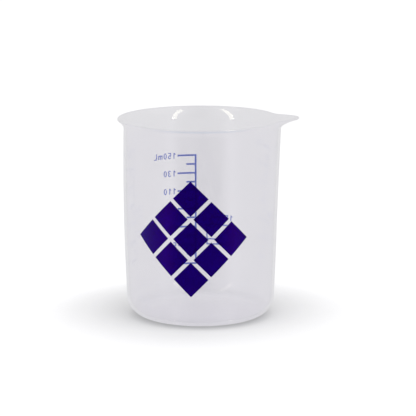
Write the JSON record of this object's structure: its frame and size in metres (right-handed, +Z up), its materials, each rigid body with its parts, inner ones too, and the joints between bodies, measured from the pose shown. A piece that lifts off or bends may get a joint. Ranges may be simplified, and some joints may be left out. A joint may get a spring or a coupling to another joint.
{
  "type": "measuring cup",
  "caption": "Small translucent beaker-form measuring cup with a flared lip, a pouring spout, a printed millilitre scale on the back and a printed lozenge pattern on the front.",
  "frame": {"origin": "centre of the flat underside, on the cup's axis", "axes": "+Z up along the cup's axis, +X towards the pouring spout, -Y towards the side with the lozenge pattern, +Y towards the printed scale"},
  "size_m": [0.0718, 0.0656, 0.0794],
  "materials": {
    "translucent_plastic": "milky translucent polypropylene, smooth from the mould with a soft gloss",
    "blue_ink": "thin printed ink, slightly see-through",
    "purple_ink": "dense printed ink with a soft gloss"
  },
  "bodies": {
    "root": {"cup_body": "translucent_plastic", "scale_ladder": "blue_ink", "mark_150_hundreds": "blue_ink", "mark_150_tens": "blue_ink", "mark_150_ones": "blue_ink", "mark_150_unit_m": "blue_ink", "mark_150_unit_l": "blue_ink", "mark_130_hundreds": "blue_ink", "mark_130_tens": "blue_ink", "mark_130_ones": "blue_ink", "mark_110_hundreds": "blue_ink", "mark_110_tens": "blue_ink", "mark_110_ones": "blue_ink", "mark_90_tens": "blue_ink", "mark_90_ones": "blue_ink", "mark_70_tens": "blue_ink", "mark_70_ones": "blue_ink", "mark_50_tens": "blue_ink", "mark_50_ones": "blue_ink", "mark_30_tens": "blue_ink", "mark_30_ones": "blue_ink", "field_frame": "blue_ink", "capacity_hundreds": "blue_ink", "capacity_tens": "blue_ink", "capacity_ones": "blue_ink", "capacity_unit_m": "blue_ink", "capacity_unit_l": "blue_ink", "emblem_lozenge_1_1": "purple_ink", "emblem_lozenge_1_2": "purple_ink", "emblem_lozenge_1_3": "purple_ink", "emblem_lozenge_2_1": "purple_ink", "emblem_lozenge_2_2": "purple_ink", "emblem_lozenge_2_3": "purple_ink", "emblem_lozenge_3_1": "purple_ink", "emblem_lozenge_3_2": "purple_ink", "emblem_lozenge_3_3": "purple_ink"}
  },
  "joints": []
}
